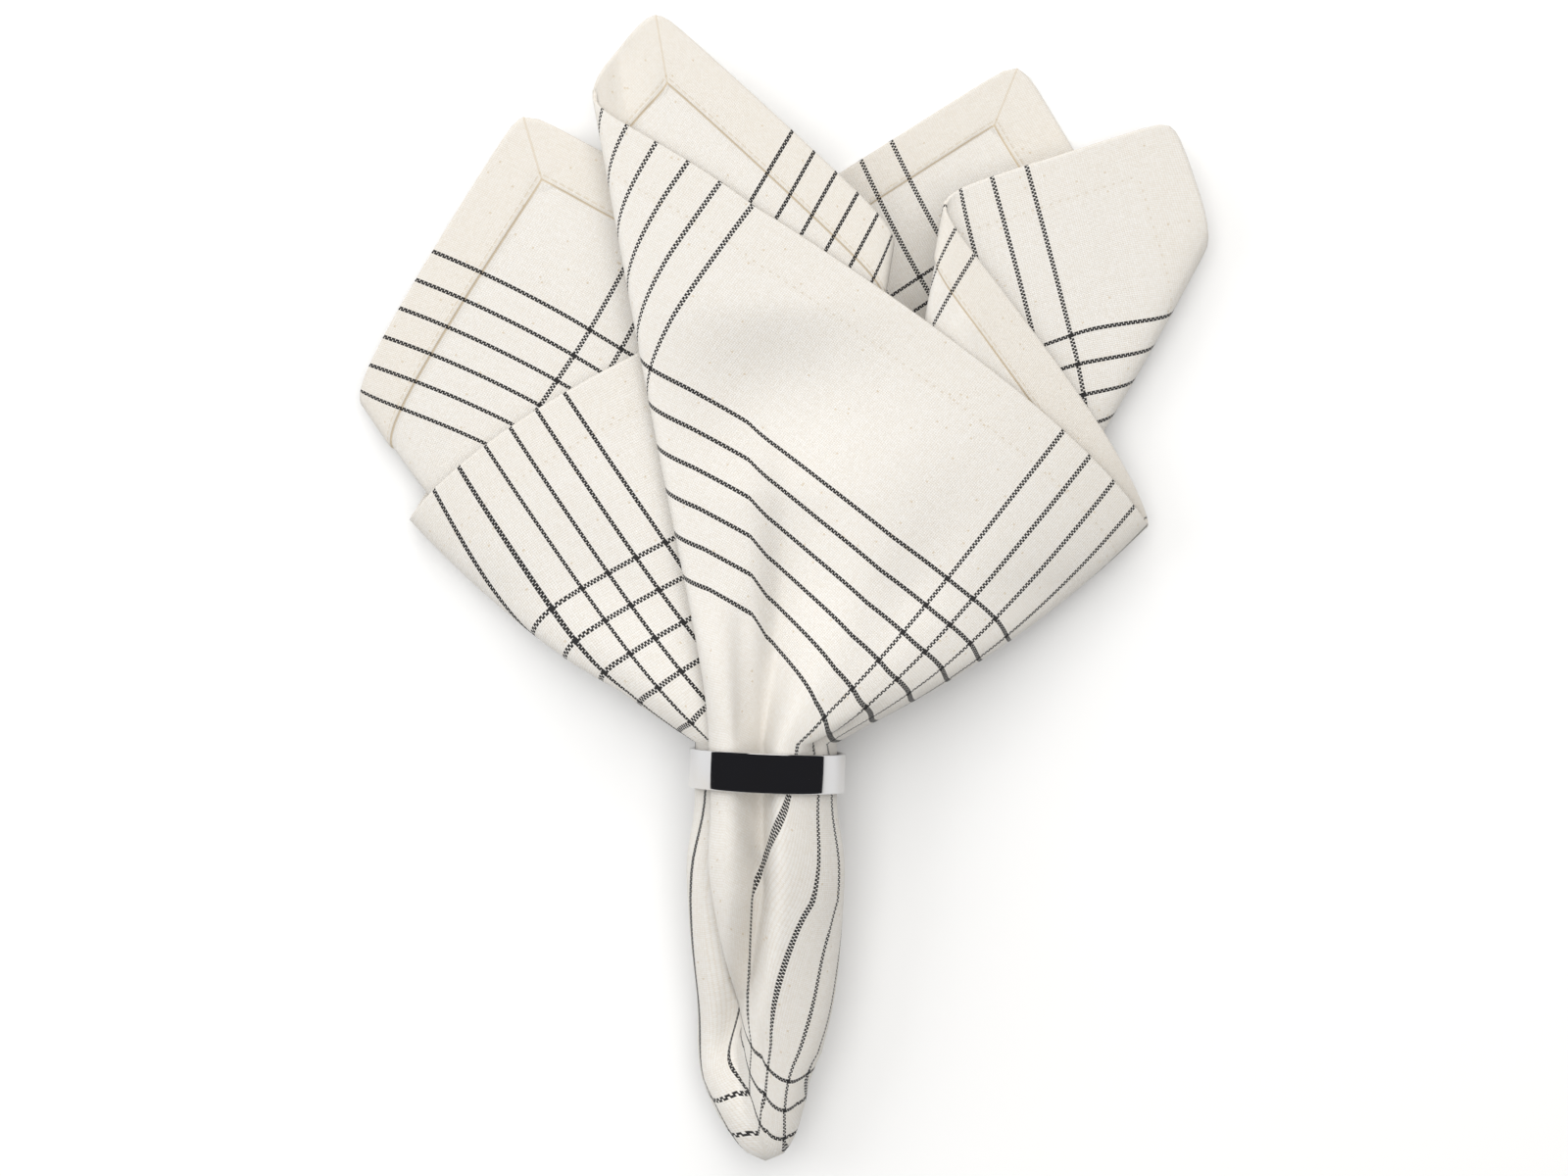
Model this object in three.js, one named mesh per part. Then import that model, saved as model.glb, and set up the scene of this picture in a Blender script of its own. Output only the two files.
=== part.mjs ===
import * as THREE from 'three';

// A square cloth napkin, pinched at its centre, drawn through a metal ring and fanned out on a table.
// Millimetres, Z up. The table is z = 0 and the origin is the ring's foot on it. Y runs along the ring's
// axis, from the tail below the ring to the fan above it, and X runs across.

// Napkin cloth: hemmed square, and the length of cloth over which a fold turns. At the tip the folds melt
// into a plain dome, so there they turn over a longer length.
const napkinSide = 450;
const clothThickness = 1;
const foldLength = 7;
const tipFoldGrowth = 4;
const tipFoldFade = 25;
const widestFold = 75;
const climbShare = 0.65;

// Ring: polished band standing on a flat of its own.
const ringOuterRadius = 22;
const ringWall = 1.2;
const ringWidth = 11;
const ringEdgeRound = 0.35;
const ringFacets = 48;
const ringYaw = -2.3;
const ringHeight = ringOuterRadius * Math.cos(Math.PI / ringFacets);

// Bundle: its sections are measured by their station, the distance from the tail's tip along Y.
const ringStation = 110.5;
const neckClearance = 0.5;
const neckRadius = ringOuterRadius - ringWall - neckClearance - clothThickness / 2;
const neckHalfLength = 8;
const tailLength = 92;
const tailHalfWidth = 22.3;
const tailHalfHeight = 16;
const tailMiddle = 14.5;
const tailClearance = 1.2;
const tailShoulder = 10;
const tailLean = -3;
const tailLeanStation = 22;
const tailLeanSpan = 16;

// Rounding of the bundle's square section: the share of it that its height takes, and the stations over which
// it starts.
const sectionFlatness = 0.7;
const roundStart = 12;
const roundEnd = 70;

// Pleat pressed into the bundle's front: its depth, how far its two sides reach, the stations over which it
// starts, and its path down the bundle.
const pleatDepth = 6;
const pleatLeft = 7;
const pleatRight = 3;
const pleatStart = 2;
const pleatEnd = 45;
const pleatPath = [
  { station: 0, x: -5 },
  { station: 15, x: -7 },
  { station: 33, x: -9.5 },
  { station: 52, x: -4.5 },
  { station: 75, x: -1.2 },
  { station: 120, x: -1 },
];

// Filling of the bundle's sides, where fewer layers lie: how far the lowest and the highest level move
// towards each other there, from which part of the half width, and the stations over which this starts. The
// highest level moves in the fan alone.
const leftCeilingDrop = 0.45;
const leftCeilingStart = 0.1;
const leftGroundRise = 0.3;
const leftGroundStart = 0.72;
const rightGroundRise = 0.9;
const rightGroundStart = 0.66;
const fillStart = 5;
const fillEnd = 40;

// Fan: it opens past the ring, comes down to the table and is lower at its sides and its hems.
const fanStation = ringStation + neckHalfLength + 0.5;
const fanSpread = 27;
const fanSettle = 45;
const fanShift = -0.8;
const hemCrest = 23;
const neckCrest = 18;
const crestFade = 70;
const sideDrop = 0.58;
const sideDropPower = 2.2;

// The cloth rests on the table at a low point on each side of the fan, and around these it stands a little off
// the table.
const restLift = 0.4;
const restReach = 8;
const rests = [
  { x: -70.1, station: 208.8 },
  { x: 71.5, station: 211.1 },
];

// Folds, in order round the cloth's centre, each with the panel that follows it.
// turn: the fold's direction on the flat cloth, in degrees about its centre.
// fan: its direction in the fan, in degrees to the right of Y, seen from the tail's tip.
// neck: its place across the bundle in the ring, from -1 on the left to 1 on the right.
// reach: its length in the fan as a share of its length on the flat cloth.
// bow: extra reach halfway across the panel.
// start, end: the panel's level in the stack at its two folds, from -1 on the table to 1 on top.
// The front panel has two rows, because the pleat divides it.
const folds = [
  { turn: 204.4, fan: 9.5, neck: 0.3, reach: 0.975, bow: 0, start: 0.1, end: -0.1 },
  { turn: 240.5, fan: -30, neck: -0.88, reach: 0.945, bow: 0, start: -0.33, end: -0.33 },
  { turn: 251, fan: -19, neck: -0.45, reach: 0.955, bow: 0, start: -0.56, end: -0.56 },
  { turn: 260.5, fan: -33, neck: -1, reach: 0.925, bow: 0.03, start: 0.42, end: 0.42 },
  { turn: 300.4, fan: 9.2, neck: 0.35, reach: 1, bow: 0.003, start: 0.69, end: 0.69 },
  { turn: 319.8, fan: -10.2, neck: -1, reach: 1.03, bow: 0.006, start: 1, end: 1 },
  { turn: 329.6, fan: -0.5, neck: -0.06, reach: 1.028, bow: 0.01, start: 1, end: 1 },
  { turn: 365.5, fan: 35, neck: 1, reach: 0.95, bow: 0, start: 0.55, end: 0.72 },
  { turn: 393.6, fan: 9.6, neck: 0.2, reach: 1.02, bow: 0, start: 0.45, end: 0.3 },
  { turn: 410.5, fan: 27.2, neck: 0.75, reach: 0.98, bow: 0, start: -0.45, end: -0.63 },
  { turn: 447.9, fan: -12, neck: -0.35, reach: 0.95, bow: 0, start: -0.86, end: -0.7 },
  { turn: 484, fan: 24, neck: 0.62, reach: 1.005, bow: 0.012, start: -1, end: -1 },
  { turn: 532.1, fan: -23.5, neck: -0.7, reach: 0.985, bow: 0, start: -0.74, end: -0.15 },
];
const leftTurns = [240.5, 260.5, 319.8];
const rightTurns = [365.5, 385, 410.5];
const topTurn = 343;
const bottomTurn = 508;
const cornerTurns = [225, 315, 405, 495];

// Troughs pressed into the upper layers of the fan: direction and the reach of both sides in degrees, first
// and last station, and depth at the top of the stack.
const troughs = [
  { fan: -0.5, left: 2.3, right: 4.5, from: 70, to: 215, depth: 7 },
  { fan: 4, left: 6, right: 6, from: 196, to: 262, depth: 2.5 },
  { fan: -17, left: 3.5, right: 3.5, from: 116, to: 190, depth: 2.5 },
  { fan: 17, left: 4, right: 4, from: 116, to: 200, depth: 2 },
];

// Columns of the sheet, in degrees either side of each fold and between folds, and its rows: stations up to
// the open fan, then shares of the way to the hem.
const foldColumns = [-4.6, -2.2, -0.9, 0, 0.9, 2.2, 4.6];
const panelPitch = 10;
const columnGap = 0.6;
const normalStep = 1.5;
const stations = [0, 2, 6, 12, 19, 27, 37, 50, 65, 80, 94, 102.5, 110.5, 118.5, 123, 130, 142, 160];
const hemShares = [0.22, 0.45, 0.68, 0.87, 1];

const fullTurn = 360;
const windings = [-2, -1, 0, 1, 2];
const stepSharpness = 1.7;
const radians = THREE.MathUtils.degToRad;
const degrees = THREE.MathUtils.radToDeg;
const { clamp, lerp, smoothstep } = THREE.MathUtils;

// Distance from the napkin's centre to its hem.
function hemRadius(turn) {
  const angle = radians(turn);
  return napkinSide / 2 / Math.max(Math.abs(Math.cos(angle)), Math.abs(Math.sin(angle)));
}

// Panels between the folds, with their values at both of them.
const panels = folds.map((fold, index) => {
  const next = folds[(index + 1) % folds.length];
  return {
    from: fold.turn,
    to: index + 1 < folds.length ? next.turn : next.turn + fullTurn,
    fan: [fold.fan, next.fan],
    neck: [fold.neck, next.neck],
    level: [fold.start, fold.end],
    reach: [fold.reach, next.reach],
    bow: fold.bow,
  };
});

function wrapTurn(turn) {
  return folds[0].turn + THREE.MathUtils.euclideanModulo(turn - folds[0].turn, fullTurn);
}

// A step and a ramp that start at zero, rounded over a distance of one.
function softStep(distance) {
  return 0.5 + 0.5 * Math.tanh(stepSharpness * distance / 2);
}

function softRamp(distance) {
  const bend = Math.log1p(Math.exp(-stepSharpness * Math.abs(distance))) / stepSharpness;
  return Math.max(distance, 0) + bend;
}

// One of the panels' values with each fold rounded over a spread of turn: every panel's straight run fades
// into its neighbours'.
function softValue(name, turn, spread) {
  let mean = 0;
  for (const panel of panels) {
    const [first, last] = panel[name];
    for (const winding of windings) {
      const entered = (turn - panel.from - winding * fullTurn) / spread;
      const passed = (turn - panel.to - winding * fullTurn) / spread;
      const inside = softStep(entered) - softStep(passed);
      const run = (softRamp(entered) - softRamp(passed)) * spread / (panel.to - panel.from);
      mean += first * inside + (last - first) * (run - softStep(passed));
    }
  }
  return mean;
}

// Fan direction, place in the neck, level and reach at a place on the flat cloth. A fold turns over its
// length of cloth, and climbs to the next level in a shorter one, which keeps its nose blunt.
function softFold(turn, radius) {
  const length = foldLength * (1 + tipFoldGrowth * Math.exp(-radius / tipFoldFade));
  const spread = Math.min(degrees(length / Math.max(radius, 1)), widestFold);
  const wrapped = wrapTurn(turn);
  const panel = panels.find((candidate) => wrapped < candidate.to);
  const across = (wrapped - panel.from) / (panel.to - panel.from);
  const bow = 4 * panel.bow * across * (1 - across) * Math.min(2 * radius / napkinSide, 1);
  return {
    fan: softValue('fan', wrapped, spread),
    neck: softValue('neck', wrapped, spread),
    level: softValue('level', wrapped, spread * climbShare),
    reach: softValue('reach', wrapped, spread) + bow,
  };
}

function slopeOf(fold) {
  return Math.tan(radians(fold.fan));
}

// How far the troughs press the stack's top down.
function troughDepth(fan, station) {
  let depth = 0;
  for (const trough of troughs) {
    const aside = (fan - trough.fan) / (fan < trough.fan ? trough.left : trough.right);
    const along = (station - trough.from) / (trough.to - trough.from);
    if (along > 0 && along < 1) {
      depth += trough.depth * Math.exp(-aside * aside) * Math.sin(Math.PI * along) ** 0.8;
    }
  }
  return depth;
}

// How far the bundle's front is pressed in along its pleat, less towards the bottom of the stack.
function pleatAt(x, station, level) {
  const ahead = pleatPath.findIndex((row, index) => index > 0 && row.station >= station);
  const next = pleatPath.at(ahead);
  const last = pleatPath.at(ahead - 1);
  const passed = clamp((station - last.station) / (next.station - last.station), 0, 1);
  const middle = lerp(last.x, next.x, passed);
  const aside = (x - middle) / (x < middle ? pleatLeft : pleatRight);
  const share = (level + 1) / 2;
  return pleatDepth * smoothstep(station, pleatStart, pleatEnd) * share * share * Math.exp(-aside * aside);
}

// Level within the layers that lie at this part of the width: -1 for the lowest there, 1 for the highest.
function filledLevel(above, across, station, ceilingDrop) {
  const filled = smoothstep(station, fillStart, fillEnd);
  const leftGround = leftGroundRise * smoothstep(-across, leftGroundStart, 1);
  const rightGround = rightGroundRise * smoothstep(across, rightGroundStart, 1);
  const ceiling = 1 - filled * ceilingDrop * smoothstep(-across, leftCeilingStart, 1);
  const ground = -1 + filled * (leftGround + rightGround);
  return Math.max((2 * above - ceiling - ground) / (ceiling - ground), -1);
}

// Place between two limits: -1 at the first and 1 at the second.
function placeBetween(value, first, second) {
  return (2 * value - first - second) / (second - first);
}

// Point on the middle of the sheet's thickness, for a place on the flat cloth. In the tail and the neck the
// stack's square section is rounded into an ellipse, and in the fan it lies on the table.
function sheetPoint(turn, radius) {
  const fold = softFold(turn, radius);
  const slope = slopeOf(fold);
  const leftFolds = leftTurns.map((side) => softFold(side, radius));
  const rightFolds = rightTurns.map((side) => softFold(side, radius));
  const left = Math.min(...leftFolds.map(slopeOf));
  const right = Math.max(...rightFolds.map(slopeOf));
  const neckLeft = Math.min(...leftFolds.map((side) => side.neck));
  const neckRight = Math.max(...rightFolds.map((side) => side.neck));
  const bottom = softFold(bottomTurn, radius).level;
  const top = softFold(topTurn, radius).level;
  const height = placeBetween(fold.level, bottom, top);
  const station = fold.reach * radius * Math.cos(radians(fold.fan));
  const inside = placeBetween(fold.neck, neckLeft, neckRight);
  const stacked = filledLevel(height, inside, station, 0);
  const across = placeBetween(slope, left, right);
  const above = filledLevel(height, across, station, leftCeilingDrop);

  const toTip = clamp(1 - station / tailLength, 0, 1);
  const dome = Math.sqrt(1 - toTip * toTip);
  const neckStart = ringStation - neckHalfLength;
  const narrowing = smoothstep(station, tailLength - tailShoulder, neckStart);
  const halfWidth = dome * lerp(tailHalfWidth, neckRadius, narrowing);
  const rise = smoothstep(station, tailLeanStation, neckStart);
  const halfHeight = dome * lerp(tailHalfHeight, neckRadius, rise);
  const middle = Math.max(lerp(tailMiddle, ringHeight, rise), halfHeight + tailClearance);
  const lean = tailLean * Math.exp(-(((station - tailLeanStation) / tailLeanSpan) ** 2));
  const rounding = smoothstep(station, roundStart, roundEnd);
  const narrow = Math.sqrt(Math.max(1 - rounding * (1 - sectionFlatness) * stacked * stacked, 0));
  const low = Math.sqrt(Math.max(1 - rounding * sectionFlatness * inside * inside, 0));
  const roundX = lean + halfWidth * inside * narrow;
  const roundZ = middle + halfHeight * stacked * low - pleatAt(roundX, station, stacked);

  const share = (above + 1) / 2;
  const crest = hemCrest + neckCrest * Math.exp(-Math.max(station - ringStation, 0) / crestFade);
  const arch = 1 - sideDrop * Math.abs(across) ** sideDropPower;
  const openX = station * slope + fanShift;
  const toRest = Math.min(...rests.map((rest) => Math.hypot(openX - rest.x, station - rest.station)));
  const lift = restLift * Math.min(toRest / restReach, 1);
  const openZ = clothThickness / 2 + lift + share * (crest * arch - troughDepth(fold.fan, station));

  const opened = 1 - Math.exp(-Math.max(station - fanStation, 0) / fanSpread);
  const settled = smoothstep(station, fanStation, fanStation + fanSettle);
  return new THREE.Vector3(
    lerp(roundX, openX, opened),
    station - ringStation,
    lerp(roundZ, openZ, settled),
  );
}

// Normal of the cloth's right side, from short steps along the turn and the radius.
function sheetNormal(turn, radius) {
  const stepTurn = degrees(normalStep / radius);
  const stepRadius = Math.min(normalStep, radius / 2);
  const aroundCloth = sheetPoint(turn + stepTurn, radius).sub(sheetPoint(turn - stepTurn, radius));
  const outwards = sheetPoint(turn, radius + stepRadius).sub(sheetPoint(turn, radius - stepRadius));
  return aroundCloth.cross(outwards).normalize();
}

// Radius on the flat cloth that lies at a station in the folded napkin.
function radiusAtStation(turn, station) {
  let radius = station;
  for (let pass = 0; pass < 5; pass++) {
    const fold = softFold(turn, radius);
    radius = station / (fold.reach * Math.cos(radians(fold.fan)));
  }
  return radius;
}

// Turns of the sheet's columns: close together at the folds, wider on the panels, and one at each corner.
function columnTurns() {
  const turns = [...cornerTurns];
  const addTurn = (turn) => {
    const distance = (other) => Math.abs(THREE.MathUtils.euclideanModulo(turn - other + 180, fullTurn) - 180);
    if (turns.every((other) => distance(other) > columnGap)) {
      turns.push(turn);
    }
  };
  const side = foldColumns.at(-1);
  folds.forEach((fold, index) => {
    foldColumns.forEach((offset) => addTurn(fold.turn + offset));
    const nextTurn = folds[index + 1]?.turn ?? folds[0].turn + fullTurn;
    const open = nextTurn - fold.turn - 2 * side;
    const count = Math.floor(open / panelPitch);
    for (let column = 1; column <= count; column++) {
      addTurn(fold.turn + side + open * column / (count + 1));
    }
  });
  return turns.map(wrapTurn).sort((a, b) => a - b);
}

// The sheet is a sphere's grid laid over both sides of the cloth: from the centre over the right side to the
// hem, round the hem's edge, and over the wrong side back to the centre. The grid's columns run against the
// turn, so that its faces point out.
function napkinGeometry() {
  const turns = columnTurns();
  const lastRow = stations.length + hemShares.length - 1;
  const gridRows = 2 * lastRow + 1;
  const geometry = new THREE.SphereGeometry(1, turns.length, gridRows);
  const position = geometry.getAttribute('position');
  turns.forEach((turn, column) => {
    const radii = stations.map((station) => radiusAtStation(turn, station));
    const openRadius = radii.at(-1);
    hemShares.forEach((share) => radii.push(lerp(openRadius, hemRadius(turn), share)));
    radii.forEach((radius, row) => {
      const point = sheetPoint(turn, radius);
      const normal = row === 0 ? new THREE.Vector3(0, -1, 0) : sheetNormal(turn, radius);
      const places = column === 0 ? [0, turns.length] : [turns.length - column];
      const rightSide = point.clone().addScaledVector(normal, clothThickness / 2);
      const wrongSide = point.clone().addScaledVector(normal, -clothThickness / 2);
      for (const place of places) {
        position.setXYZ(row * (turns.length + 1) + place, ...rightSide.toArray());
        position.setXYZ((gridRows - row) * (turns.length + 1) + place, ...wrongSide.toArray());
      }
    });
  });
  geometry.deleteAttribute('uv');
  geometry.computeVertexNormals();
  return geometry;
}

// Ring: its band's section turned about Y, with a facet flat on the table.
function ringGeometry() {
  const inner = ringOuterRadius - ringWall;
  const half = ringWidth / 2;
  const soft = half - ringEdgeRound;
  const section = [
    new THREE.Vector2(inner, -soft),
    new THREE.Vector2(inner + ringEdgeRound, -half),
    new THREE.Vector2(ringOuterRadius - ringEdgeRound, -half),
    new THREE.Vector2(ringOuterRadius, -soft),
    new THREE.Vector2(ringOuterRadius, soft),
    new THREE.Vector2(ringOuterRadius - ringEdgeRound, half),
    new THREE.Vector2(inner + ringEdgeRound, half),
    new THREE.Vector2(inner, soft),
    new THREE.Vector2(inner, -soft),
  ];
  return new THREE.LatheGeometry(section, ringFacets, Math.PI / ringFacets);
}

const clothMaterial = new THREE.MeshStandardMaterial({ color: 0xf0e9dc, roughness: 0.9, metalness: 0 });
const steelMaterial = new THREE.MeshStandardMaterial({ color: 0xc9cacc, roughness: 0.12, metalness: 1 });

const napkin = new THREE.Mesh(napkinGeometry(), clothMaterial);
napkin.name = 'napkin';

const ring = new THREE.Mesh(ringGeometry(), steelMaterial);
ring.name = 'ring';
ring.position.z = ringHeight;
ring.rotation.z = radians(ringYaw);

const napkinInRing = new THREE.Group();
napkinInRing.add(napkin, ring);

export default napkinInRing;
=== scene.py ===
"""Looks of a square cloth napkin, pinched at its centre, drawn through a polished ring and fanned out.

The cloth is one closed thin sheet. A table of folds gives its shape, and a table of threads says which place
on the flat square lies where, so the woven stripes, the hem and its stitches follow the folds.
Sizes are millimetres in the table's frame until a mesh is made. Lamps and heights of a finish are in metres.
"""

import logging
import math
from collections.abc import Iterator, Mapping, Sequence
from dataclasses import dataclass
from enum import Enum
from typing import Any, Union

import bpy
import numpy as np
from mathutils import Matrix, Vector


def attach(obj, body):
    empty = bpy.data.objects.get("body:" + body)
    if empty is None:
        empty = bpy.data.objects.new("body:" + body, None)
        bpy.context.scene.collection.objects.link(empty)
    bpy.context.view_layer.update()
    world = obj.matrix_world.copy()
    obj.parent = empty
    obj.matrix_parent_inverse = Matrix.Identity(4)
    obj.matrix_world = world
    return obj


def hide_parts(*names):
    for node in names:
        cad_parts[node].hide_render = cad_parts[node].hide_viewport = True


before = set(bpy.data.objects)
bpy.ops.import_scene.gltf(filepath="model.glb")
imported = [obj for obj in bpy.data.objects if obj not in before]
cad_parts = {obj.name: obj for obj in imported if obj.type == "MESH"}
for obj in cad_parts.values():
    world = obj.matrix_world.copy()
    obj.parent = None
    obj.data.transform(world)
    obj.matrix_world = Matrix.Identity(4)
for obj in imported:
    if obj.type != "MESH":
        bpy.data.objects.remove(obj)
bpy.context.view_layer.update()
METRES = 0.001
FULL_TURN = 360.0
TINY = 1e-6
CLOTH_SIDE = 450.0
RING_RADIUS = 22.0
RING_FACETS = 48
RING_HEIGHT = RING_RADIUS * math.cos(math.pi / RING_FACETS)
RING_STATION = 110.5
FOLD_SHARPNESS = 1.7
LOG = logging.getLogger("napkin_in_ring")

Array = np.ndarray
Colour = tuple[float, float, float]
Value = Union["Socket", float, Sequence[float]]


class Slot(Enum):
    """Material slots of the record."""

    CLOTH = "cloth"
    METAL = "polished_metal"


class Layer(Enum):
    """Names of the sheet's UV maps and of its attribute."""

    FLAT = "cloth"
    BAKE = "OFBake"
    WRONG_SIDE = "wrong_side"


class Socket:
    """An output on its way through a shader, on which Python's operators add Math nodes."""

    def __init__(self, graph: "Graph", port: bpy.types.NodeSocket | None) -> None:
        """Wraps one output of a node in its graph."""
        self.graph = graph
        self.port = port

    def math(self, operation: str, *others: Value, swap: bool = False) -> "Socket":
        """Adds a Math node.

        Args:
            operation: the node's operation.
            others: the operands after this one.
            swap: whether this value comes last.

        Returns:
            The node's result.
        """
        operands = (*others, self) if swap else (self, *others)
        return self.graph.node("ShaderNodeMath", {"operation": operation}, dict(enumerate(operands)))

    def __add__(self, other: Value) -> "Socket":
        """Sum."""
        return self.math("ADD", other)

    def __radd__(self, other: Value) -> "Socket":
        """Sum, with a number first."""
        return self.math("ADD", other, swap=True)

    def __sub__(self, other: Value) -> "Socket":
        """Difference."""
        return self.math("SUBTRACT", other)

    def __rsub__(self, other: Value) -> "Socket":
        """Difference, with a number first."""
        return self.math("SUBTRACT", other, swap=True)

    def __mul__(self, other: Value) -> "Socket":
        """Product."""
        return self.math("MULTIPLY", other)

    def __rmul__(self, other: Value) -> "Socket":
        """Product, with a number first."""
        return self.math("MULTIPLY", other, swap=True)

    def __mod__(self, other: Value) -> "Socket":
        """Remainder, never negative."""
        return self.math("FLOORED_MODULO", other)

    def __lt__(self, other: Value) -> "Socket":
        """1 where this is less, else 0."""
        return self.math("LESS_THAN", other)

    def __gt__(self, other: Value) -> "Socket":
        """1 where this is more, else 0."""
        return self.math("GREATER_THAN", other)

    def __abs__(self) -> "Socket":
        """Size without its sign."""
        return self.math("ABSOLUTE")

    def floor(self) -> "Socket":
        """Whole number below."""
        return self.math("FLOOR")

    def least(self, other: Value) -> "Socket":
        """The smaller of two."""
        return self.math("MINIMUM", other)

    def most(self, other: Value) -> "Socket":
        """The larger of two."""
        return self.math("MAXIMUM", other)

    def part(self, axis: str) -> "Socket":
        """One part of a vector."""
        return self.graph.node("ShaderNodeSeparateXYZ", {}, {"Vector": self}, axis)

    def near(self, place: float, reach: float) -> "Socket":
        """1 closer to a place than the reach, else 0."""
        return abs(self - place) < reach

    def fade(self, start: float, end: float) -> "Socket":
        """A smooth step from 0 at start to 1 at end."""
        settings = {"interpolation_type": "SMOOTHSTEP"}
        return self.graph.node("ShaderNodeMapRange", settings, {0: self, 1: start, 2: end})


class Graph:
    """The node tree of a material or of the world."""

    def __init__(self, owner: bpy.types.Material | bpy.types.World) -> None:
        """Empties the tree of its owner.

        Args:
            owner: the material or the world.
        """
        self.owner = owner
        owner.use_nodes = True
        self.tree = owner.node_tree
        self.tree.nodes.clear()

    def node(
        self,
        kind: str,
        settings: Mapping[str, Any],
        links: Mapping[str | int, Value],
        output: str | int = 0,
    ) -> Socket:
        """Adds a node.

        Args:
            kind: the node's type.
            settings: its properties, which are set first.
            links: values or sockets for its inputs, by name or number.
            output: the output that is returned.

        Returns:
            That output, wrapped, or an empty wrapper where the node has none.
        """
        made = self.tree.nodes.new(kind)
        for key, value in settings.items():
            setattr(made, key, value)
        for key, value in links.items():
            if isinstance(value, Socket):
                self.tree.links.new(value.port, made.inputs[key])
            else:
                made.inputs[key].default_value = value
        return Socket(self, made.outputs[output] if len(made.outputs) else None)

    def mix(self, first: Socket | Colour, second: Socket | Colour, share: Value) -> Socket:
        """Blends two colours.

        Args:
            first: the colour at share 0.
            second: the colour at share 1.
            share: how much of the second shows.

        Returns:
            The blend.
        """
        ends = [end if isinstance(end, Socket) else (*end, 1.0) for end in (first, second)]
        links = {0: share, 6: ends[0], 7: ends[1]}
        return self.node("ShaderNodeMix", {"data_type": "RGBA"}, links, output=2)

    def place(self) -> Socket:
        """Places on the object, in metres."""
        return self.node("ShaderNodeTexCoord", {}, {}, "Object")

    def vector(self, x: Value, y: Value, z: Value = 0.0) -> Socket:
        """A vector from three values."""
        return self.node("ShaderNodeCombineXYZ", {}, {0: x, 1: y, 2: z})

    def noise(self, vector: Socket, scale: float, detail: float) -> Socket:
        """Smooth noise from 0 to 1 over a vector."""
        return self.node("ShaderNodeTexNoise", {}, {"Vector": vector, "Scale": scale, "Detail": detail})

    def chance(self, vector: Socket) -> Socket:
        """An even random value from 0 to 1 for each whole vector."""
        return self.node("ShaderNodeTexWhiteNoise", {"noise_dimensions": "3D"}, {"Vector": vector})

    def bump(self, height: Socket, strength: float) -> Socket:
        """A normal from a height in metres."""
        return self.node("ShaderNodeBump", {}, {"Height": height, "Strength": strength, "Distance": 1.0})

    def finish(self, links: Mapping[str, Value]) -> bpy.types.Material:
        """Ends a material's tree with a Principled shader.

        Args:
            links: values or sockets of the shader, by input name.

        Returns:
            The material.
        """
        shader = self.node("ShaderNodeBsdfPrincipled", {}, links)
        self.node("ShaderNodeOutputMaterial", {}, {"Surface": shader})
        return self.owner


@dataclass(frozen=True)
class Stripes:
    """Dark stripes one way, each of two yarns: six in the middle of the cloth and six near each edge.

    centre is their middle from the cloth's own, and border_yarn the count from there to the border stripes.
    """

    pitch: float
    centre: float
    border_yarn: int
    yarns: int = 16
    middle_half: int = 3
    border_count: int = 6
    dark_half: float = 1.0

    def yarn(self, place: Socket) -> Socket:
        """Yarns from the stripes' centre at a place on the flat cloth."""
        return (place - self.centre) * (self.yarns / self.pitch)

    def mask(self, yarn: Socket) -> Socket:
        """1 on the dark yarns.

        Args:
            yarn: yarns from the stripes' centre.

        Returns:
            The mask of the middle and the border stripes.
        """
        away = abs(yarn)
        half = self.yarns / 2
        middle = (away % self.yarns).near(half, self.dark_half) * (away < self.middle_half * self.yarns)
        border_end = self.border_yarn + self.border_count * self.yarns
        border = ((away - self.border_yarn) % self.yarns).near(half, self.dark_half)
        return middle + border * (away > self.border_yarn) * (away < border_end)


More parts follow.
